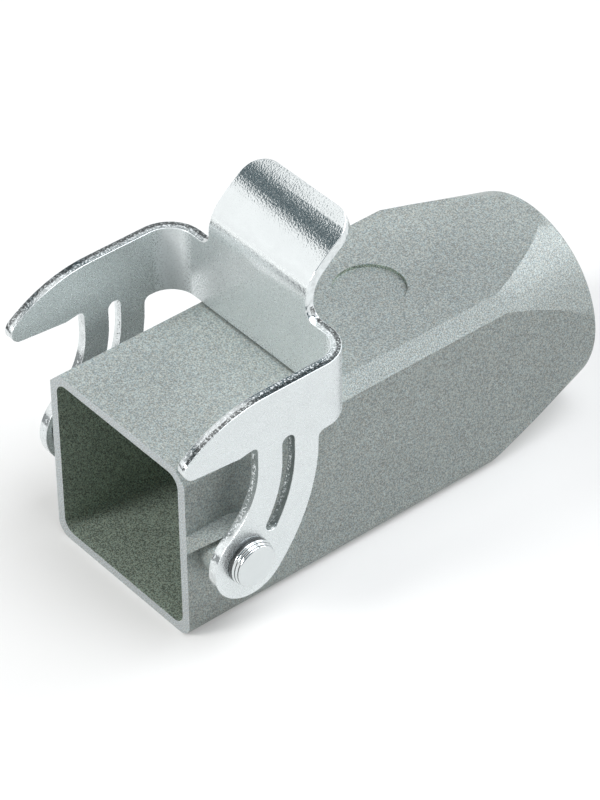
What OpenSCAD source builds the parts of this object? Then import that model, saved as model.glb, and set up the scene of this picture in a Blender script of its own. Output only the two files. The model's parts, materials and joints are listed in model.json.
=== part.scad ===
// Cable connector housing: a square die-cast body with a tapered cable end
// and a bent sheet locking lever that swings on two studs.
// The origin is the middle of the mating opening, the cable leaves towards +Y and +Z is up.
// Heights are given from the resting face below.

/* [Body] */
// Width and height of the square section
body_side = 26.4; // [25:0.1:34]
// Length from the mating face to the cable end
body_length = 67.1; // [60:0.1:90]
// Flat cut along the two upper edges
top_chamfer = 1.9; // [0.5:0.1:3]
// Rounding along the two lower edges
bottom_radius = 2; // [0.5:0.1:3]
// Half angle of the cone that tapers the cable end
taper_angle = 14.8; // [10:0.1:22]
// Rounding around the cable end
rear_radius = 0.9; // [0.3:0.1:2]

/* [Mating opening] */
// Wall on each side of the opening
wall = 1.3; // [1:0.05:2]
// Corner radius of the opening
opening_radius = 1.8; // [0.5:0.1:4]
// Depth of the square opening
opening_depth = 44; // [30:0.5:46]

/* [Cable entry] */
// Outer diameter of the entry thread
entry_thread = 20; // [16:0.5:20]
// Depth of the threaded hole
entry_depth = 12; // [6:0.5:13]
// Flat cut at the mouth of the thread
entry_chamfer = 0.6; // [0.2:0.1:1]

/* [Round field] */
// Radius of the shallow round field on top
field_radius = 4.75; // [2:0.05:6]
// Depth of the field
field_depth = 0.5; // [0.1:0.05:0.6]
// Distance of its centre from the mating face
field_setback = 40; // [34:0.1:44]

/* [Pivot] */
// Distance of the lever's pivot from the mating face
pivot_setback = 5.9; // [5.5:0.1:9]
// Height of the pivot above the resting face
pivot_height = 12.8; // [12:0.1:15]
// Radius of the boss around each pivot
boss_radius = 4; // [3:0.1:5]
// Height of the boss above the side of the body
boss_height = 2.9; // [1.5:0.1:6]
// Length over which the rib in front of the boss rises from the mating face
rib_lead = 2.4; // [1:0.1:4]
// Radius of the stud's shank
shank_radius = 2; // [1.5:0.1:2.4]
// Length of the shank that is pressed into the boss
shank_grip = 3.6; // [1.5:0.1:4]
// Radius of the stud's head
head_radius = 3.15; // [2.8:0.05:4]
// Height of the stud's head
head_height = 1.7; // [1.2:0.1:2.5]
// Number of turned steps around the upper half of the head
head_steps = 2; // [1:1:2]
// Width of each step
head_step = 0.15; // [0.1:0.05:0.25]

/* [Lever sheet] */
// Thickness of the bent sheet
sheet = 1.4; // [1:0.1:2]
// Inner radius of the two bends
bend_radius = 3.6; // [1.5:0.1:5]
// Front face of the bridge, measured from the mating face
bridge_setback = 22; // [20:0.1:30]
// Height of the bridge
bridge_height = 9.6; // [7:0.1:12]

/* [Lever arm] */
// Radius of the round arm end
arm_end_radius = 5.5; // [4.5:0.05:6.5]
// Distance of the round end's centre behind the pivot
arm_end_back = 0.5; // [0:0.1:1]
// Distance of the round end's centre below the pivot
arm_end_drop = 0.4; // [0:0.1:1]
// Front edge of the arm, measured back from the pivot
arm_front = 1.9; // [1:0.1:3]
// Width of the arm where it meets the bridge
arm_width = 9.3; // [8:0.1:10]
// Fillet between the arm and the bridge
arm_fillet = 0.9; // [0.4:0.1:1.5]
// Width of the curved slot
slot_width = 1.9; // [1:0.1:3]
// Bend radius of the slot's centre line
slot_bend = 18; // [15:0.5:24]
// Sweep of the slot below the bridge
slot_sweep = 32; // [10:0.5:33]
// Straight length of the slot above its bend
slot_rise = 1.8; // [0.5:0.1:4]

/* [Lever horn] */
// Reach of the horn's tip ahead of the mating face
horn_reach = 3.1; // [1:0.1:6]
// Radius of the horn's tip
horn_tip_radius = 1.5; // [1:0.1:2]
// Height of the tip's centre above the bridge's lower edge
horn_tip_height = 4.4; // [3.6:0.1:5.2]
// Height of the horn's lip above the bridge's lower edge
lip_height = 2.3; // [1.5:0.1:3]
// Distance of the lip ahead of the arm
lip_setback = 2.7; // [1.5:0.1:3.5]
// Rise of the notch behind the lip
notch_rise = 0.3; // [0.1:0.05:0.6]
// Corner radius of the notch
notch_radius = 0.8; // [0.3:0.1:1.2]
// Length of the curved part of the horn's upper edge
crest_run = 11; // [8:0.1:13]

/* [Thumb tab] */
// Width of the tab
tab_width = 18.4; // [10:0.1:22]
// Height of the upright part above the bridge
tab_rise = 2; // [1:0.1:5]
// Radius of the tab's bend
tab_bend = 6; // [4:0.1:10]
// Sweep of the bend
tab_sweep = 46; // [30:1:60]
// Radius of the gently curved end
tab_curve = 28; // [15:1:60]
// Length of the curved end
tab_length = 7.9; // [4:0.1:12]
// Corner radius at the free end
tab_corner = 3.5; // [1:0.1:4.5]
// Fillet between the tab and the bridge
tab_fillet = 1.8; // [0.5:0.1:2]

/* [Clearances] */
// Gap between the bridge and the top of the body
bridge_gap = 0.3; // [0.2:0.05:1]
// Gap on each face of an arm
arm_gap = 0.1; // [0.05:0.05:0.3]
// Gap around a shank in its arm
shank_gap = 0.05; // [0.02:0.01:0.1]

/* [Hidden] */
$fn = 96;

SIDES = [-1, 1];
CASTING = "#9fa6a5";
ZINC_PLATE = "#cfd6d8";
MARGIN = 1; // lets a cut pass clean through a face
OVERLAP = 0.4; // lets two pieces join
ARC_STEP = 5; // angle between the points of a drawn arc

half_side = body_side / 2;
opening_side = body_side - 2 * wall;
entry_radius = entry_thread / 2;
funnel_end = body_length - entry_depth;
boss_face = half_side + boss_height;
rib_top = pivot_height + boss_radius;

arm_inside = boss_face + arm_gap;
arm_outside = arm_inside + sheet;
head_seat = arm_outside + arm_gap;
shank_end = boss_face - shank_grip;

bridge_low = body_side + bridge_gap;
bridge_top = bridge_low + bridge_height;
bridge_rear = bridge_setback + sheet;
blade_top = bridge_low - arm_fillet;

pivot = [pivot_setback, pivot_height];
front_edge = pivot_setback + arm_front;
rear_edge = front_edge + arm_width;
// Both long edges of the arm are arcs that stand upright at the bridge and touch the round end.
arm_end = pivot + [arm_end_back, -arm_end_drop];
end_rise = blade_top - arm_end[1];
end_reach = end_rise ^ 2 - arm_end_radius ^ 2;
front_offset = front_edge - arm_end[0];
rear_offset = rear_edge - arm_end[0];
front_bend = (front_offset ^ 2 + end_reach) / (2 * (arm_end_radius + front_offset));
rear_bend = (rear_offset ^ 2 + end_reach) / (2 * (rear_offset - arm_end_radius));
front_centre = [front_edge - front_bend, blade_top];
rear_centre = [rear_edge - rear_bend, blade_top];
front_turn = bearing(front_centre - arm_end);
rear_turn = bearing(arm_end - rear_centre);
slot_middle = front_edge + arm_width / 2;

tip = [horn_tip_radius - horn_reach, bridge_low + horn_tip_height];
lip = [front_edge - lip_setback, bridge_low + lip_height];
notch_top = lip[1] + notch_rise;
crest = [tip[0] + crest_run, bridge_top];
crest_drop = crest[1] - tip[1];
// The upper edge of the horn is an arc that leaves the crest level and touches the tip.
crest_bend = (crest_run ^ 2 + crest_drop ^ 2 - horn_tip_radius ^ 2) / (2 * (crest_drop - horn_tip_radius));
crest_centre = [crest[0], crest[1] - crest_bend];
crest_turn = bearing(tip - crest_centre);
lip_run = lip - tip;
lip_turn = bearing(lip_run) - acos(horn_tip_radius / norm(lip_run));

half_tab = tab_width / 2;
tab_foot = bridge_top + tab_rise;
tab_centre = [bridge_setback + tab_bend, tab_foot];
tab_turn = 180 - tab_sweep;
tab_curve_sweep = tab_length / tab_curve * 180 / PI;
curve_centre = tab_centre + (tab_bend - tab_curve) * heading(tab_turn);
tab_end_turn = tab_turn - tab_curve_sweep;
tab_end = curve_centre + tab_curve * heading(tab_end_turn);

function heading(angle) = [cos(angle), sin(angle)];
function bearing(v) = atan2(v[1], v[0]);

// Points along an arc, without its last one, where the next stretch of the outline starts.
function arc(centre, radius, from, to) =
    let (steps = ceil(abs(to - from) / ARC_STEP))
    [for (i = [0:steps - 1]) centre + radius * heading(from + (to - from) * i / steps)];

// Moves a piece drawn on the resting face to where the body's axis is at the origin.
module centred() {
    translate([0, 0, -half_side]) children();
}

// Draws a section given in x and z, from y = start over a length towards +Y.
module along_y(start, length) {
    translate([0, start + length, 0]) rotate([90, 0, 0]) linear_extrude(length) children();
}

// Draws a section given in y and z, from x = start over a width towards +X.
module along_x(start, width) {
    translate([start, 0, 0]) rotate([90, 0, 90]) linear_extrude(width) children();
}

// Turns a section given as radius and y about the body's long axis.
module around_axis() {
    translate([0, 0, half_side]) rotate([-90, 0, 0]) rotate_extrude() children();
}

// Turns a section given as radius and x about the pivot.
module around_pivot() {
    translate([0, pivot_setback, pivot_height]) rotate([0, 90, 0]) rotate_extrude() children();
}

module rounded_square(side, radius) {
    square([side, side - 2 * radius], center = true);
    square([side - 2 * radius, side], center = true);
    for (x = SIDES, y = SIDES)
        translate([x, y] * (side / 2 - radius)) circle(radius);
}

module body_section() {
    polygon([
        [-half_side, bottom_radius], [-half_side, body_side - top_chamfer],
        [top_chamfer - half_side, body_side], [half_side - top_chamfer, body_side],
        [half_side, body_side - top_chamfer], [half_side, bottom_radius],
        [half_side - bottom_radius, 0], [bottom_radius - half_side, 0],
    ]);
    for (side = SIDES)
        translate([side * (half_side - bottom_radius), bottom_radius]) circle(bottom_radius);
}

// Half section of the cone that turns the square prism into a round cable end.
module taper_section() {
    end_radius = half_side;
    start_radius = end_radius + body_length * tan(taper_angle);
    inset = rear_radius * tan(45 - taper_angle / 2);
    round_centre = [end_radius - inset, body_length - rear_radius];
    polygon([
        [0, 0], [start_radius, 0], round_centre + rear_radius * heading(taper_angle),
        round_centre, [round_centre[0], body_length], [0, body_length],
    ]);
    intersection() {
        translate(round_centre) circle(rear_radius);
        square([start_radius, body_length]);
    }
}

module tapered_body() {
    intersection() {
        along_y(0, body_length) body_section();
        around_axis() taper_section();
    }
}

// The rib runs from the mating face to the boss, level on top, slanted below and ramped at its front.
module pivot_boss() {
    root = half_side - wall / 2;
    depth = boss_face - root;
    around_pivot() translate([0, root]) square([boss_radius, depth]);
    intersection() {
        along_y(0, pivot_setback) polygon([[root, rib_top], [boss_face, rib_top], [root, rib_top - depth]]);
        linear_extrude(body_side) polygon([
            [root, 0], [half_side, 0], [boss_face, rib_lead],
            [boss_face, pivot_setback], [root, pivot_setback],
        ]);
    }
}

module cavity() {
    along_y(-MARGIN, opening_depth + MARGIN)
        translate([0, half_side]) rounded_square(opening_side, opening_radius);
    around_axis() polygon([
        [0, opening_depth - MARGIN], [opening_side / 2, opening_depth - MARGIN],
        [opening_side / 2, opening_depth], [entry_radius, funnel_end],
        [entry_radius, body_length - entry_chamfer],
        [entry_radius + entry_chamfer + MARGIN, body_length + MARGIN], [0, body_length + MARGIN],
    ]);
}

module round_field() {
    translate([0, field_setback, body_side - field_depth])
        cylinder(h = field_depth + MARGIN, r = field_radius);
}

module housing_body() {
    color(CASTING) centred() difference() {
        union() {
            tapered_body();
            pivot_boss();
            mirror([1, 0, 0]) pivot_boss();
        }
        cavity();
        round_field();
        for (side = SIDES)
            mirror([side < 0 ? 1 : 0, 0, 0])
                around_pivot() translate([0, shank_end]) square([shank_radius, shank_grip + MARGIN]);
    }
}

module slot() {
    centre = [slot_middle - slot_bend, blade_top];
    low_end = centre + slot_bend * heading(-slot_sweep);
    half_slot = slot_width / 2;
    polygon([
        each arc(centre, slot_bend + half_slot, -slot_sweep, 0),
        [slot_middle + half_slot, blade_top],
        each arc([slot_middle, blade_top + slot_rise], half_slot, 0, 180),
        [slot_middle - half_slot, blade_top + slot_rise],
        each arc(centre, slot_bend - half_slot, 0, -slot_sweep),
        each arc(low_end, half_slot, 180 - slot_sweep, 360 - slot_sweep),
    ]);
}

// Side view of an arm with its horn and the end of the bridge.
module arm_outline() {
    polygon([
        each arc(tip, horn_tip_radius, crest_turn, lip_turn + 360),
        tip + horn_tip_radius * heading(lip_turn),
        lip,
        each arc([front_edge, notch_top] - notch_radius * [1, 1], notch_radius, 90, 0),
        [front_edge, notch_top - notch_radius],
        each arc(front_centre, front_bend, 0, front_turn - 180),
        each arc(arm_end, arm_end_radius, front_turn, rear_turn + 360),
        each arc(rear_centre, rear_bend, rear_turn, 0),
        each arc([rear_edge + arm_fillet, blade_top], arm_fillet, 180, 90),
        [rear_edge + arm_fillet, bridge_low],
        [bridge_rear + MARGIN, bridge_low],
        [bridge_rear + MARGIN, bridge_top],
        each arc(crest_centre, crest_bend, 90, crest_turn),
    ]);
}

// Carries a side view of the lever across its whole width.
module across_lever(extra) {
    reach = arm_outside + extra;
    along_x(-reach, 2 * reach) children();
}

module lever_side() {
    difference() {
        across_lever(MARGIN) arm_outline();
        across_lever(2 * MARGIN) slot();
        across_lever(2 * MARGIN) translate(pivot) circle(shank_radius + shank_gap);
    }
}

// The sheet seen from above: an arm, a bend, the bridge, a bend and an arm.
module lever_plan() {
    front = -horn_reach - MARGIN;
    right_centre = [arm_inside - bend_radius, bridge_setback - bend_radius];
    left_centre = [-right_centre[0], right_centre[1]];
    outer_radius = bend_radius + sheet;
    polygon([
        [arm_outside, front],
        each arc(right_centre, outer_radius, 0, 90),
        [right_centre[0], bridge_rear],
        each arc(left_centre, outer_radius, 90, 180),
        [-arm_outside, left_centre[1]],
        [-arm_outside, front],
        [-arm_inside, front],
        each arc(left_centre, bend_radius, 180, 90),
        [left_centre[0], bridge_setback],
        each arc(right_centre, bend_radius, 90, 0),
        [arm_inside, right_centre[1]],
        [arm_inside, front],
    ]);
}

// Side view of the tab, from inside the bridge to its free end.
module tab_strip() {
    inner_bend = tab_bend - sheet;
    inner_curve = tab_curve - sheet;
    polygon([
        [bridge_setback, bridge_top - OVERLAP],
        each arc(tab_centre, tab_bend, 180, tab_turn),
        each arc(curve_centre, tab_curve, tab_turn, tab_end_turn),
        tab_end,
        each arc(curve_centre, inner_curve, tab_end_turn, tab_turn),
        each arc(tab_centre, inner_bend, tab_turn, 180),
        [bridge_rear, tab_foot],
        [bridge_rear, bridge_top - OVERLAP],
    ]);
}

// Outline that rounds the free end of the tab, looking square onto that end.
module tab_outline() {
    depth = 2 * (tab_bend + tab_length);
    corner = half_tab - tab_corner;
    polygon([
        [-half_tab, -depth],
        [half_tab, -depth],
        each arc([corner, -tab_corner], tab_corner, 0, 90),
        [corner, 0],
        each arc([-corner, -tab_corner], tab_corner, 90, 180),
        [-half_tab, -tab_corner],
    ]);
}

module tab_curl() {
    reach = 2 * (tab_bend + tab_length);
    intersection() {
        across_lever(0) tab_strip();
        translate([0, tab_end[0], tab_end[1]]) rotate([tab_end_turn - 90, 0, 0])
            translate([0, 0, -reach]) linear_extrude(2 * reach) tab_outline();
    }
}

// Fillets on both sides of the tab's foot.
module tab_foot_fillets() {
    spread = half_tab + tab_fillet;
    height = bridge_top + tab_fillet;
    along_y(bridge_setback, sheet) polygon([
        [-spread, bridge_top - OVERLAP],
        [spread, bridge_top - OVERLAP],
        each arc([spread, height], tab_fillet, 270, 180),
        [half_tab, height],
        each arc([-spread, height], tab_fillet, 0, -90),
        [-spread, bridge_top],
    ]);
}

module locking_lever() {
    low = arm_end[1] - arm_end_radius - MARGIN;
    color(ZINC_PLATE) centred() {
        intersection() {
            translate([0, 0, low]) linear_extrude(bridge_top + MARGIN - low) lever_plan();
            lever_side();
        }
        tab_curl();
        tab_foot_fillets();
    }
}

// A stud with a low stepped head; it is pressed into the boss and leaves the arm free to turn.
module pivot_stud() {
    half_head = head_height / 2;
    color(ZINC_PLATE) centred() around_pivot() polygon([
        [0, shank_end], [shank_radius, shank_end], [shank_radius, head_seat], [head_radius, head_seat],
        for (step = [0:head_steps])
            let (
                radius = head_radius - step * head_step,
                top = head_seat + half_head * (1 + step / head_steps)
            )
            each [[radius, top - head_step], [radius - head_step, top]],
        [0, head_seat + head_height],
    ]);
}

module right_pivot_stud() {
    pivot_stud();
}

module left_pivot_stud() {
    mirror([1, 0, 0]) pivot_stud();
}

housing_body();
locking_lever();
left_pivot_stud();
right_pivot_stud();
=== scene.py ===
import json
import math

import bmesh
import bpy
from mathutils import Matrix, Vector


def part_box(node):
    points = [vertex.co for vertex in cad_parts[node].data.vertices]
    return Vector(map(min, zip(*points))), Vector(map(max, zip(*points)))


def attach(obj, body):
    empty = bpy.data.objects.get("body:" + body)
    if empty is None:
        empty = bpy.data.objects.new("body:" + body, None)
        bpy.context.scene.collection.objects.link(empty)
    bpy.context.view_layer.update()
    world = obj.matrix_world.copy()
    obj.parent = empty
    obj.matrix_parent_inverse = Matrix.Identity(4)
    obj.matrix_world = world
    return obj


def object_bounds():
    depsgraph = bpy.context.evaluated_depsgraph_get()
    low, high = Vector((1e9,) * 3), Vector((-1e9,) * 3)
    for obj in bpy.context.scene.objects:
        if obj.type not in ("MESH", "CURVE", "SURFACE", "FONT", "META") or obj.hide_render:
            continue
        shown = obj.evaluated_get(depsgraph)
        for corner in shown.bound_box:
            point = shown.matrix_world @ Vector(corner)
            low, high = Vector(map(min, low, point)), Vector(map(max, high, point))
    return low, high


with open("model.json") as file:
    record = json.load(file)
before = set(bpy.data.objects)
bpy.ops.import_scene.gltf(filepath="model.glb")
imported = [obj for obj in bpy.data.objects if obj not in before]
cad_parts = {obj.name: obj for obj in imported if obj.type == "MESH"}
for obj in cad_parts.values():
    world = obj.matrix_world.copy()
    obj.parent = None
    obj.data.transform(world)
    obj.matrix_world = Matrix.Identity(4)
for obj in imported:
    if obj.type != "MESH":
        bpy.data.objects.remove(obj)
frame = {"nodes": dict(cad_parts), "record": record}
cad_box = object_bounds()
MM = 0.001
WHITE = (1, 1, 1)
scene = bpy.context.scene
scene.view_settings.view_transform = "Standard"

# Highest corners of the body's and the lever's boxes, and the mount in the cable end
body_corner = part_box("housing_body")[1]
lever_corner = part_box("locking_lever")[1]
cable_entry = next(mount for mount in frame["record"]["mounts"] if mount["name"] == "cable_entry")

# Camera, solved from the straight edges of the body in the photograph
CAMERA_AZIMUTH = math.radians(50.854)
CAMERA_ELEVATION = math.radians(39.739)
CAMERA_ROLL = math.radians(-0.801)
CAMERA_PLACE = Vector((0.29281, -0.20978, 0.31496))
FOCAL_PIXELS = 3919.98
IMAGE_HEIGHT = 800
SENSOR_SIZE = 36
NEAREST_SEEN = 0.01
FARTHEST_SEEN = 20


def camera_axes():
    """Right, up and back directions of the camera."""
    level = math.cos(CAMERA_ELEVATION)
    back = Vector((
        math.sin(CAMERA_AZIMUTH) * level,
        -math.cos(CAMERA_AZIMUTH) * level,
        math.sin(CAMERA_ELEVATION),
    ))
    flat_right = Vector((math.cos(CAMERA_AZIMUTH), math.sin(CAMERA_AZIMUTH), 0))
    flat_up = back.cross(flat_right)
    right = math.cos(CAMERA_ROLL) * flat_right + math.sin(CAMERA_ROLL) * flat_up
    up = math.cos(CAMERA_ROLL) * flat_up - math.sin(CAMERA_ROLL) * flat_right
    return right, up, back


def make_camera():
    data = bpy.data.cameras.new("photo_camera")
    data.sensor_width = SENSOR_SIZE
    data.lens = FOCAL_PIXELS / IMAGE_HEIGHT * SENSOR_SIZE
    data.clip_start = NEAREST_SEEN
    data.clip_end = FARTHEST_SEEN
    camera = bpy.data.objects.new("photo_camera", data)
    axes = Matrix(camera_axes()).transposed()
    camera.matrix_world = Matrix.Translation(CAMERA_PLACE) @ axes.to_4x4()
    scene.collection.objects.link(camera)
    scene.camera = camera


make_camera()


class Nodes:
    """Short calls for building a material's node tree."""

    def __init__(self, name):
        self.material = bpy.data.materials.new(name)
        self.material.use_nodes = True
        self.tree = self.material.node_tree
        self.shader = self.tree.nodes["Principled BSDF"]
        place = self.tree.nodes.new("ShaderNodeTexCoord")
        self.place = place.outputs["Object"]

    def give(self, value, target):
        """Links a socket to a target, or sets the target to a plain value."""
        if isinstance(value, bpy.types.NodeSocket):
            self.tree.links.new(value, target)
        else:
            target.default_value = value

    def surface(self, name, value):
        """Gives a value to one input of the surface shader."""
        self.give(value, self.shader.inputs[name])

    def noise(self, size, detail=2.0, roughness=0.5):
        """Noise whose patches are about as wide as size."""
        node = self.tree.nodes.new("ShaderNodeTexNoise")
        node.inputs["Scale"].default_value = 1 / size
        node.inputs["Detail"].default_value = detail
        node.inputs["Roughness"].default_value = roughness
        self.give(self.place, node.inputs["Vector"])
        return node.outputs["Fac"]

    def ramp(self, value, stops):
        """Colour that goes from stop to stop as the value grows."""
        node = self.tree.nodes.new("ShaderNodeValToRGB")
        elements = node.color_ramp.elements
        while len(elements) < len(stops):
            elements.new(0.5)
        for element, (position, colour) in zip(elements, stops):
            element.position = position
            element.color = (*colour, 1)
        self.give(value, node.inputs["Fac"])
        return node.outputs["Color"]

    def multiply(self, first, second):
        """Product of two colours."""
        node = self.tree.nodes.new("ShaderNodeMix")
        node.data_type = "RGBA"
        node.blend_type = "MULTIPLY"
        node.inputs["Factor"].default_value = 1
        self.give(first, node.inputs["A"])
        self.give(second, node.inputs["B"])
        return node.outputs["Result"]

    def maths(self, operation, *values):
        node = self.tree.nodes.new("ShaderNodeMath")
        node.operation = operation
        for value, target in zip(values, node.inputs):
            self.give(value, target)
        return node.outputs["Value"]

    def length(self, first, second):
        """Length of a vector with two parts."""
        join = self.tree.nodes.new("ShaderNodeCombineXYZ")
        self.give(first, join.inputs["X"])
        self.give(second, join.inputs["Y"])
        node = self.tree.nodes.new("ShaderNodeVectorMath")
        node.operation = "LENGTH"
        self.give(join.outputs["Vector"], node.inputs[0])
        return node.outputs["Value"]

    def axes(self):
        """The three parts of a point's place."""
        node = self.tree.nodes.new("ShaderNodeSeparateXYZ")
        self.give(self.place, node.inputs["Vector"])
        return node.outputs

    def remap(self, value, low, high, start=0.3, end=0.7):
        """Goes from low to high, and no further, as the value goes from start to end."""
        node = self.tree.nodes.new("ShaderNodeMapRange")
        node.inputs["From Min"].default_value = start
        node.inputs["From Max"].default_value = end
        node.inputs["To Min"].default_value = low
        node.inputs["To Max"].default_value = high
        self.give(value, node.inputs["Value"])
        return node.outputs["Result"]

    def bump(self, height, strength, distance):
        node = self.tree.nodes.new("ShaderNodeBump")
        self.give(strength, node.inputs["Strength"])
        node.inputs["Distance"].default_value = distance
        self.give(height, node.inputs["Height"])
        self.surface("Normal", node.outputs["Normal"])


def grey(level, tint=WHITE):
    return tuple(level * part for part in tint)


# Tints of the coat, of its darker, greener copy painted as shade in its opening and round field, of its
# lighter copy painted as highlight on its front frame and edges, and of the zinc
COAT_TINT = (0.935, 1.03, 0.985)
SHADE_COAT_TINT = (0.885, 1.045, 0.875)
HIGHLIGHT_COAT_TINT = (0.94, 1.01, 1.02)
ZINC_TINT = (0.952, 1.0, 1.006)

# Flakes of the coat: their width, how light the three kinds are, and their hues beside the tint
FLAKE_SIZE = 0.16 * MM
DARK_FLAKE = 0.15
MIDDLE_FLAKE = 0.35
LIGHT_FLAKE = 0.625
HUE_SIZE = 0.18 * MM
WARM_FLAKE = (1.09, 1, 0.93)
COOL_FLAKE = (0.91, 1, 1.07)
# Spread of the flakes' levels: a small one makes the step from dark flakes to light ones hard
SOFT_SPREAD = 0.2
HARD_SPREAD = 0.1
# Film of the coat: its broad drift, its shine and its fine bumps
DRIFT_SIZE = 6.2 * MM
DRIFT_LOWEST = 0.94
COAT_METALLIC = 0.35
COAT_ROUGHNESS = (0.38, 0.55)
COAT_ROUGHNESS_SIZE = 0.33 * MM
COAT_BUMP = 0.3
COAT_BUMP_SIZE = 0.25 * MM
COAT_BUMP_HEIGHT = 0.04 * MM


def powder_coat(name, level, tint, spread=SOFT_SPREAD):
    """Silver-grey powder coat: fine light and dark flakes in a slightly uneven film."""
    nodes = Nodes(name)
    flakes = nodes.ramp(nodes.noise(FLAKE_SIZE, detail=3, roughness=0.6), [
        (0.5 - spread, grey(DARK_FLAKE * level, tint)),
        (0.5, grey(MIDDLE_FLAKE * level, tint)),
        (0.5 + spread, grey(LIGHT_FLAKE * level, tint)),
    ])
    hue = nodes.ramp(nodes.noise(HUE_SIZE), [(0.35, WARM_FLAKE), (0.65, COOL_FLAKE)])
    drift = nodes.ramp(nodes.noise(DRIFT_SIZE), [(0.3, grey(DRIFT_LOWEST)), (0.7, WHITE)])
    nodes.surface("Base Color", nodes.multiply(nodes.multiply(flakes, hue), drift))
    nodes.surface("Metallic", COAT_METALLIC)
    nodes.surface("Roughness", nodes.remap(nodes.noise(COAT_ROUGHNESS_SIZE), *COAT_ROUGHNESS))
    nodes.bump(nodes.noise(COAT_BUMP_SIZE), COAT_BUMP, COAT_BUMP_HEIGHT)
    return nodes.material


# Plan of the bent sheet: its thickness, the inner radius of its two bends and the place of its bridge
SHEET = 1.4 * MM
BEND_INSIDE = 3.6 * MM
BRIDGE_SETBACK = 22 * MM
# Middle of the right bend; the left one is its mirror image
BEND_MIDDLE_X = lever_corner.x - SHEET - BEND_INSIDE
BEND_MIDDLE_Y = BRIDGE_SETBACK - BEND_INSIDE
# Rise of the bridge above the body, of the tab's foot above the bridge and of the tab's bend above its foot
BRIDGE_RISE = 9.9 * MM
TAB_RISE = 2 * MM
TAB_BEND_RISE = 4.3 * MM
# Heights
BODY_TOP = body_corner.z
BRIDGE_TOP = BODY_TOP + BRIDGE_RISE
TAB_FOOT = BRIDGE_TOP + TAB_RISE
TAB_BEND_END = TAB_FOOT + TAB_BEND_RISE

# Zinc plating: broad clouds, fine and patchy roughness, and grain
CLOUD_SIZE = 2.9 * MM
CLOUD_DEPTH = 0.02
FINE_SIZE = 0.17 * MM
FINE_ROUGHNESS = (0.04, 0.13)
PATCH_SIZE = 0.2 * MM
PATCH_RANGE = (0.3, 1.7)
GRAIN_SIZE = 0.24 * MM
GRAIN_HEIGHT = 0.04 * MM
# Lightness, mirror part, patchy roughness and grain of the lever's sheet, and what changes on its tab
SHEET_LEVEL = 0.765
SHEET_MIRROR = 0.80
SHEET_SATIN = 0.25
SHEET_GRAIN = 0.5
# The tab's gain on the sheet's colour is a painted highlight: the tab is coloured brighter for the bright
# reflection it shows
TAB_HIGHLIGHT_GAIN = 1.17
TAB_MIRROR = 0.93
TAB_GRAIN = 0.25
# What the insides of the bends lose of the mirror part
BEND_LOSS = 0.7
# Mirror part and grain of the turned studs
TURNED_MIRROR = 0.80
TURNED_GRAIN = 0.04


def zinc_cloud(nodes, level):
    """Faintly blue colour of the plating, a little uneven."""
    return nodes.ramp(nodes.noise(CLOUD_SIZE, detail=4, roughness=0.6), [
        (0.35, grey((1 - CLOUD_DEPTH) * level, ZINC_TINT)),
        (0.65, grey((1 + CLOUD_DEPTH) * level, ZINC_TINT)),
    ])


def zinc_roughness(nodes, satin):
    """Fine roughness, with rougher and smoother patches where the plating is satin."""
    fine = nodes.remap(nodes.noise(FINE_SIZE, detail=1), *FINE_ROUGHNESS)
    patches = nodes.remap(nodes.noise(PATCH_SIZE, detail=1), *PATCH_RANGE)
    return nodes.maths("MULTIPLY_ADD", satin, patches, fine)


def bend_offsets(nodes, axes):
    """How far a point of the lever lies outwards and backwards from the middle of its side's bend."""
    outwards = nodes.maths("SUBTRACT", nodes.maths("ABSOLUTE", axes["X"]), BEND_MIDDLE_X)
    backwards = nodes.maths("SUBTRACT", axes["Y"], BEND_MIDDLE_Y)
    return outwards, backwards


def zinc_plate():
    """Bright zinc plating of the lever: partly mirror, partly milky, with a fine grain.

    The thumb tab's colour is painted brighter than the satin sheet below it, a painted highlight for the
    bright reflection it shows, and the tab is smoother. The bends are duller inside.
    """
    nodes = Nodes("zinc_plate")
    axes = nodes.axes()
    outwards, backwards = bend_offsets(nodes, axes)
    turn = nodes.maths(
        "MULTIPLY",
        nodes.remap(outwards, 0, 1, 0, BEND_INSIDE / 2),
        nodes.remap(backwards, 0, 1, 0, BEND_INSIDE / 2),
    )
    inner_half = nodes.maths("LESS_THAN", nodes.length(outwards, backwards), BEND_INSIDE + SHEET / 2)
    dull = nodes.maths("MULTIPLY", turn, inner_half)

    def up_the_tab(low, high):
        """A value that is low on the sheet and high on the tab."""
        return nodes.remap(axes["Z"], low, high, TAB_FOOT, TAB_BEND_END)

    # Painted highlight: the colour rises up the tab
    nodes.surface("Base Color", nodes.multiply(zinc_cloud(nodes, SHEET_LEVEL), up_the_tab(1, TAB_HIGHLIGHT_GAIN)))
    mirror = nodes.maths("MULTIPLY_ADD", dull, -BEND_LOSS, up_the_tab(SHEET_MIRROR, TAB_MIRROR))
    nodes.surface("Metallic", mirror)
    nodes.surface("Roughness", zinc_roughness(nodes, up_the_tab(SHEET_SATIN, 0)))
    nodes.bump(nodes.noise(GRAIN_SIZE, detail=1), up_the_tab(SHEET_GRAIN, TAB_GRAIN), GRAIN_HEIGHT)
    return nodes.material


def turned_zinc(name, level, satin):
    """Zinc plating of a turned stud, with hardly any grain."""
    nodes = Nodes(name)
    nodes.surface("Base Color", zinc_cloud(nodes, level))
    nodes.surface("Metallic", TURNED_MIRROR)
    nodes.surface("Roughness", zinc_roughness(nodes, satin))
    nodes.bump(nodes.noise(GRAIN_SIZE, detail=1), TURNED_GRAIN, GRAIN_HEIGHT)
    return nodes.material


# Cut edge of the sheet: the wandering border between its burnished inner part and its torn outer part
BURNISHED_DEPTH = 0.2 * SHEET
WANDER_SIZE = 1.1 * MM
WANDER_REACH = 0.5 * MM
# Broken grains: half the width of their line, their size, the noise above which they are, and what they
# lose of the mirror part
LINE_HALF = 0.28 * MM
BROKEN_SIZE = 0.24 * MM
BROKEN_ABOVE = 0.57
BROKEN_LOSS = 0.85
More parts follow.
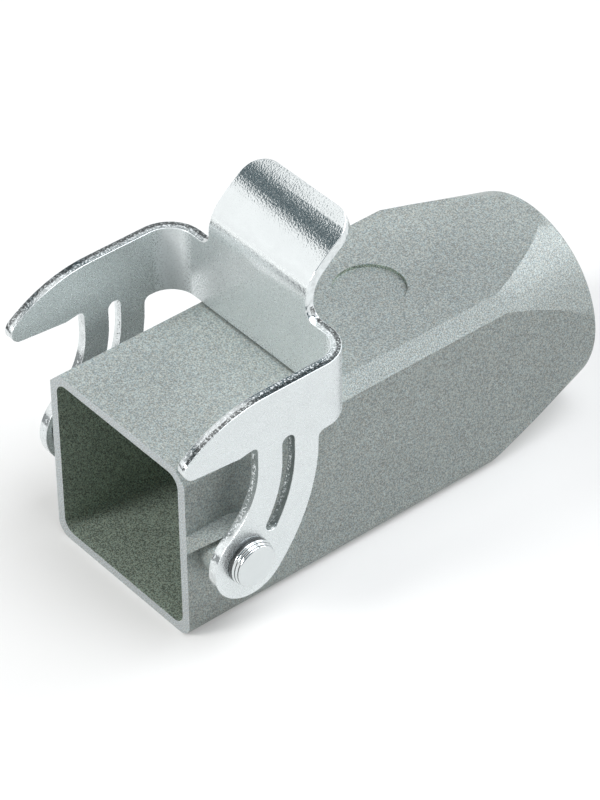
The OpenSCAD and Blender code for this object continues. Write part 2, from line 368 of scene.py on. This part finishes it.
# Torn patches: their size, the noise from full to none, and how far past the border they start and are full
TORN_SIZE = 0.3 * MM
TORN_FULL_BELOW = 0.5
TORN_NONE_ABOVE = 0.62
TORN_START = 0.08 * MM
TORN_FULL = 0.25 * MM
# Lightness, mirror part, roughness and bumps of the burnished part
CUT_DARKEST = 0.68
CUT_LIGHTEST = 0.82
CUT_CLOUD_SIZE = 0.83 * MM
CUT_MIRROR = 0.92
CUT_ROUGHNESS = (0.10, 0.22)
CUT_ROUGHNESS_SIZE = 0.38 * MM
CUT_BUMP = 0.35
CUT_BUMP_SIZE = 0.23 * MM
CUT_BUMP_HEIGHT = 0.02 * MM


def sheared_edge(name, torn_level):
    """Cut edge of the sheet: burnished bright, with a line of broken grains where the shear let go.

    Outside that line it is torn in patches, which are torn_level times as bright.
    """
    nodes = Nodes(name)
    axes = nodes.axes()
    outwards, backwards = bend_offsets(nodes, axes)
    depth = nodes.length(nodes.maths("MAXIMUM", outwards, 0), nodes.maths("MAXIMUM", backwards, 0))
    wander = nodes.noise(WANDER_SIZE)
    border = nodes.maths("MULTIPLY_ADD", wander, WANDER_REACH, BEND_INSIDE + BURNISHED_DEPTH)
    past = nodes.maths("SUBTRACT", depth, border)
    near_border = nodes.maths("LESS_THAN", nodes.maths("ABSOLUTE", past), LINE_HALF)
    below_tab = nodes.maths("LESS_THAN", axes["Z"], TAB_FOOT)
    line = nodes.maths("MULTIPLY", near_border, below_tab)
    broken = nodes.maths("GREATER_THAN", nodes.noise(BROKEN_SIZE, detail=1), BROKEN_ABOVE)
    grains = nodes.maths("MULTIPLY", broken, line)
    cloud = nodes.ramp(nodes.noise(CUT_CLOUD_SIZE, detail=3, roughness=0.6), [
        (0.35, grey(CUT_DARKEST, ZINC_TINT)),
        (0.60, grey(CUT_LIGHTEST, ZINC_TINT)),
    ])
    torn = nodes.maths(
        "MULTIPLY",
        nodes.remap(past, 0, 1, TORN_START, TORN_FULL),
        nodes.remap(nodes.noise(TORN_SIZE), 1, 0, TORN_FULL_BELOW, TORN_NONE_ABOVE),
    )
    dimming = nodes.maths("MULTIPLY_ADD", torn, torn_level - 1, 1)
    nodes.surface("Base Color", nodes.multiply(cloud, dimming))
    nodes.surface("Metallic", nodes.maths("MULTIPLY_ADD", grains, -BROKEN_LOSS, CUT_MIRROR))
    nodes.surface("Roughness", nodes.remap(nodes.noise(CUT_ROUGHNESS_SIZE), *CUT_ROUGHNESS))
    nodes.bump(nodes.noise(CUT_BUMP_SIZE), CUT_BUMP, CUT_BUMP_HEIGHT)
    return nodes.material


COAT = powder_coat("powder_coat", level=1, tint=COAT_TINT)
# Painted shade: a darker, greener copy of the coat for the shaded opening and the round field's wall
SHADE_COAT = powder_coat("painted_shade_powder_coat", level=0.97, tint=SHADE_COAT_TINT, spread=HARD_SPREAD)
# Painted highlight: a lighter copy of the coat for the front frame and all softened edges of the body
HIGHLIGHT_COAT = powder_coat("painted_highlight_powder_coat", level=1.3, tint=HIGHLIGHT_COAT_TINT)
ZINC = zinc_plate()
TURNED_ZINC = turned_zinc("turned_zinc_plate", level=0.71, satin=0.04)
# Painted shade: a much darker copy of the stud's zinc for the walls of its steps
SHADED_WALL_ZINC = turned_zinc("painted_shade_wall_zinc_plate", level=0.1, satin=0.2)
CUT = sheared_edge("sheared_edge", torn_level=1)
# Torn patches at a quarter of the brightness, only on upward-facing cut edges above the body: partly the
# cut's torn grain, partly a painted dark reflection along those edges
UPPER_CUT = sheared_edge("upper_sheared_edge", torn_level=0.25)

# Material slots of the lever, of the body and of a stud
SIDE_SLOT, CUT_SLOT, UPPER_CUT_SLOT = range(3)
COAT_SLOT, SHADE_SLOT, HIGHLIGHT_SLOT = range(3)
TURNED_SLOT, SHADED_WALL_SLOT = range(2)

# Share of a face's normal along an axis: clearly along it, straight along it, or leaning a little
ALONG = 0.5
STRAIGHT = 0.9
LEANING = 0.3
# The same for both parts of the normal on the tab's end
TAB_END_LEANING = 0.2
# Wall round the mating opening, and depth of the round field
WALL = 1.3 * MM
FIELD_DEPTH = 0.5 * MM
# Limits just past the bridge's upper edge, the opening's walls and the field's floor, by a small step
STEP = 0.01 * MM
BRIDGE_LIMIT = BRIDGE_TOP + STEP
OPENING_LIMIT = BODY_TOP - WALL + STEP
FIELD_LIMIT = BODY_TOP - FIELD_DEPTH + STEP
# The front frame lies before this
FRAME_LIMIT = 1 * MM
# How far a face's place lies along its normal, at most, if the face looks to the body's axis
INWARD_LIMIT = -1 * MM


def lever_slot(place, normal):
    """Slot of a face of the lever: a side of the sheet, a cut edge or an upper cut edge."""
    if place.z > TAB_FOOT:
        is_end = normal.y > TAB_END_LEANING and normal.z > TAB_END_LEANING
        return CUT_SLOT if is_end or abs(normal.x) > LEANING else SIDE_SLOT
    if place.z > BRIDGE_LIMIT:
        is_cut = abs(normal.y) < ALONG
    elif place.y > BEND_MIDDLE_Y:
        is_cut = abs(normal.z) > ALONG
    else:
        is_cut = abs(normal.x) < ALONG
    if not is_cut:
        return SIDE_SLOT
    # Upward-facing cut edges above the body take the darker cut, partly a painted dark reflection
    return UPPER_CUT_SLOT if normal.z > LEANING and place.z > BODY_TOP else CUT_SLOT


def body_slot(place, normal):
    """Slot of a face of the body: painted highlight on its front frame, painted shade in its opening and on
    its round field's wall.
    """
    faces_front = normal.y < -STRAIGHT
    # The front frame takes the painted highlight
    if faces_front and place.y < FRAME_LIMIT:
        return HIGHLIGHT_SLOT
    if place.z > FIELD_LIMIT:
        return SHADE_SLOT if abs(normal.z) < LEANING else COAT_SLOT
    if max(abs(place.x), abs(place.z)) > OPENING_LIMIT:
        return COAT_SLOT
    # Faces inside the opening that look to the axis or to the front take the painted shade
    faces_axis = place.x * normal.x + place.z * normal.z < INWARD_LIMIT
    return SHADE_SLOT if faces_axis or faces_front else COAT_SLOT


def stud_slot(place, normal):
    """Slot of a face of a stud: the walls that run round its axis take a much darker zinc, a painted shade.
    """
    return SHADED_WALL_SLOT if abs(normal.x) < ALONG else TURNED_SLOT


# Points this close are joined, and creases this flat are removed, before edges are softened
WELD_REACH = 0.002 * MM
FLAT_ANGLE = math.radians(0.5)
# Softened edges: the least angle at them, the steps across them and their widths
EDGE_ANGLE = math.radians(25)
BEVEL_STEPS = 2
BODY_BEVEL = 0.2 * MM
LEVER_BEVEL = 0.26 * MM
STUD_BEVEL = 0.05 * MM


def dress(node, materials, slot_of, edge_slot, bevel_width):
    """Gives a CAD node its materials and softens its edges, which take the material of edge_slot."""
    piece = frame["nodes"][node]
    piece.data.materials.clear()
    for material in materials:
        piece.data.materials.append(material)
    for face in piece.data.polygons:
        face.use_smooth = True
        face.material_index = slot_of(face.center, face.normal)
    weld = piece.modifiers.new("weld", "WELD")
    weld.merge_threshold = WELD_REACH
    flats = piece.modifiers.new("flats", "DECIMATE")
    flats.decimate_type = "DISSOLVE"
    flats.angle_limit = FLAT_ANGLE
    bevel = piece.modifiers.new("edges", "BEVEL")
    bevel.width = bevel_width
    bevel.segments = BEVEL_STEPS
    bevel.material = edge_slot
    bevel.limit_method = "ANGLE"
    bevel.angle_limit = EDGE_ANGLE
    bevel.use_clamp_overlap = True
    bevel.harden_normals = True
    normals = piece.modifiers.new("normals", "WEIGHTED_NORMAL")
    normals.keep_sharp = True


# The body's softened edges take the painted-highlight coat
dress("housing_body", [COAT, SHADE_COAT, HIGHLIGHT_COAT], body_slot, HIGHLIGHT_SLOT, BODY_BEVEL)
dress("locking_lever", [ZINC, CUT, UPPER_CUT], lever_slot, SIDE_SLOT, LEVER_BEVEL)
for stud in ("left_pivot_stud", "right_pivot_stud"):
    dress(stud, [TURNED_ZINC, SHADED_WALL_ZINC], stud_slot, TURNED_SLOT, STUD_BEVEL)

# Cable entry thread, which starts at its inner end
THREAD_RADIUS = cable_entry["dims"]["r_mm"] * MM
THREAD_PITCH = 1.5 * MM
THREAD_DEPTH = 0.81 * MM
THREAD_REACH = 11.5 * MM
THREAD_START = body_corner.y - THREAD_REACH
THREAD_TURNS = 6
STEPS_PER_TURN = 72
# Turns over which the ridge grows or runs out, and its least share of its height there
RUN_OUT_TURNS = 0.5
RUN_OUT_LEAST = 0.02
# How far the ridge's foot reaches into the wall
THREAD_SEAT = 0.02 * MM
# Half widths of the ridge's foot and crest, as shares of the pitch
RIDGE_FOOT = 0.46
RIDGE_CREST = 0.10


def entry_thread():
    """The helical ridge inside the cable entry, run out flat at both ends."""
    mesh = bmesh.new()
    rows = []
    for step in range(THREAD_TURNS * STEPS_PER_TURN + 1):
        turns = step / STEPS_PER_TURN
        angle = 2 * math.pi * turns
        middle = THREAD_START + THREAD_PITCH * (0.5 + turns)
        share = min(1, turns / RUN_OUT_TURNS, (THREAD_TURNS - turns) / RUN_OUT_TURNS)
        height = THREAD_DEPTH * max(share, RUN_OUT_LEAST)
        profile = [(-RIDGE_FOOT, 0), (-RIDGE_CREST, height), (RIDGE_CREST, height), (RIDGE_FOOT, 0)]
        row = []
        for along, rise in profile:
            radius = THREAD_RADIUS + THREAD_SEAT - rise
            row.append(mesh.verts.new((
                radius * math.cos(angle),
                middle + along * THREAD_PITCH,
                radius * math.sin(angle),
            )))
        rows.append(row)
    for first, second in zip(rows, rows[1:]):
        for i in range(len(first)):
            j = (i + 1) % len(first)
            mesh.faces.new((first[i], second[i], second[j], first[j]))
    mesh.faces.new(reversed(rows[0]))
    mesh.faces.new(rows[-1])
    bmesh.ops.recalc_face_normals(mesh, faces=mesh.faces)
    data = bpy.data.meshes.new("entry_thread")
    mesh.to_mesh(data)
    mesh.free()
    data.materials.append(COAT)
    thread = bpy.data.objects.new("entry_thread", data)
    scene.collection.objects.link(thread)
    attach(thread, "housing")


entry_thread()

# Floor, which is as low as the object
FLOOR_LEVEL = cad_box[0].z
FLOOR_SIZE = 3.0
FLOOR_COLOUR = (0.6, 0.6, 0.585)
FLOOR_ROUGHNESS = 0.9
# Distances from the object between which the floor's own glow grows, and its strength there
GLOW_START = 0.2
GLOW_END = 1.0
NEAR_GLOW = 0.28
FAR_GLOW = 0.92
# Strength of the world's light on the object
AMBIENT = 0.11


def seen_directly(tree):
    """1 for rays from the camera, from reflections and through clear things, else 0."""
    path = tree.nodes.new("ShaderNodeLightPath")
    seen = path.outputs["Is Camera Ray"]
    for name in ("Is Glossy Ray", "Is Transmission Ray"):
        either = tree.nodes.new("ShaderNodeMath")
        either.operation = "MAXIMUM"
        tree.links.new(seen, either.inputs[0])
        tree.links.new(path.outputs[name], either.inputs[1])
        seen = either.outputs[0]
    return seen


def make_floor():
    """A pale floor; far from the lamps its own glow keeps it as pale as it is under them."""
    data = bpy.data.meshes.new("floor")
    half = FLOOR_SIZE / 2
    corners = [(-half, -half, 0), (half, -half, 0), (half, half, 0), (-half, half, 0)]
    data.from_pydata(corners, [], [(0, 1, 2, 3)])
    floor = bpy.data.objects.new("floor", data)
    floor.location.z = FLOOR_LEVEL
    scene.collection.objects.link(floor)
    nodes = Nodes("pale_floor")
    nodes.surface("Base Color", (*FLOOR_COLOUR, 1))
    nodes.surface("Roughness", FLOOR_ROUGHNESS)
    nodes.surface("Specular IOR Level", 0)
    nodes.surface("Emission Color", (*WHITE, 1))
    axes = nodes.axes()
    distance = nodes.length(axes["X"], axes["Y"])
    glow = nodes.remap(distance, NEAR_GLOW, FAR_GLOW, GLOW_START, GLOW_END)
    nodes.surface("Emission Strength", nodes.maths("MULTIPLY", seen_directly(nodes.tree), glow))
    data.materials.append(nodes.material)


def make_world():
    """White where it is seen, with a weaker even light on the object."""
    world = bpy.data.worlds.new("studio")
    world.use_nodes = True
    scene.world = world
    tree = world.node_tree
    background = tree.nodes["Background"]
    background.inputs["Color"].default_value = (*WHITE, 1)
    level = tree.nodes.new("ShaderNodeMapRange")
    level.inputs["To Min"].default_value = AMBIENT
    level.inputs["To Max"].default_value = 1
    tree.links.new(seen_directly(tree), level.inputs["Value"])
    tree.links.new(level.outputs["Result"], background.inputs["Strength"])


# Curved cards round the object: their usual radius, steps and colours
CARD_RADIUS = 0.5
CARD_STEPS = 96
DARK = (0.02, 0.06, 0.072)
MIDDLE_GREY = (0.24, 0.25, 0.25)


def card(name, low, high, start=0, sweep=360, radius=CARD_RADIUS, colour=DARK):
    """A curved card that stands round the object and is seen only in reflections."""
    mesh = bmesh.new()
    rows = []
    for step in range(CARD_STEPS + 1):
        angle = math.radians(start + sweep * step / CARD_STEPS)
        rows.append([
            mesh.verts.new((radius * math.cos(angle), radius * math.sin(angle), height))
            for height in (low, high)
        ])
    for first, second in zip(rows, rows[1:]):
        mesh.faces.new((first[0], second[0], second[1], first[1]))
    data = bpy.data.meshes.new(name)
    mesh.to_mesh(data)
    mesh.free()
    nodes = Nodes(name)
    nodes.surface("Base Color", (*colour, 1))
    nodes.surface("Roughness", 1)
    nodes.surface("Specular IOR Level", 0)
    data.materials.append(nodes.material)
    piece = bpy.data.objects.new(name, data)
    piece.visible_camera = False
    piece.visible_diffuse = False
    piece.visible_shadow = False
    piece.visible_transmission = False
    scene.collection.objects.link(piece)


LIGHT_TARGET = Vector((0, 0.03, 0))
COOL_WHITE = (0.98, 1.0, 1.05)


def area_light(name, place, size, power, colour):
    """A round lamp turned to the object."""
    data = bpy.data.lights.new(name, "AREA")
    data.shape = "DISK"
    data.size = size
    data.energy = power
    data.color = colour
    light = bpy.data.objects.new(name, data)
    light.location = place
    aim = LIGHT_TARGET - light.location
    light.rotation_euler = aim.to_track_quat("-Z", "Y").to_euler()
    scene.collection.objects.link(light)


make_floor()
make_world()
card("dark_wall_card", low=0.452, high=0.561)
card("dark_camera_side_card", low=0.10, high=0.66, start=290, sweep=85)
card("dark_far_corner_card", low=0.38, high=0.452, start=100, sweep=75)
card("grey_front_left_card", low=-0.012, high=0.014, start=200, sweep=55, radius=0.08, colour=MIDDLE_GREY)
area_light("top_light", place=(0.22, 0.20, 0.68), size=0.6, power=4.6, colour=COOL_WHITE)
area_light("rear_light", place=(0.08, 0.65, 0.40), size=0.5, power=1.9, colour=COOL_WHITE)
area_light("front_light", place=(-0.18, -0.63, 0.41), size=0.3, power=4.9, colour=WHITE)
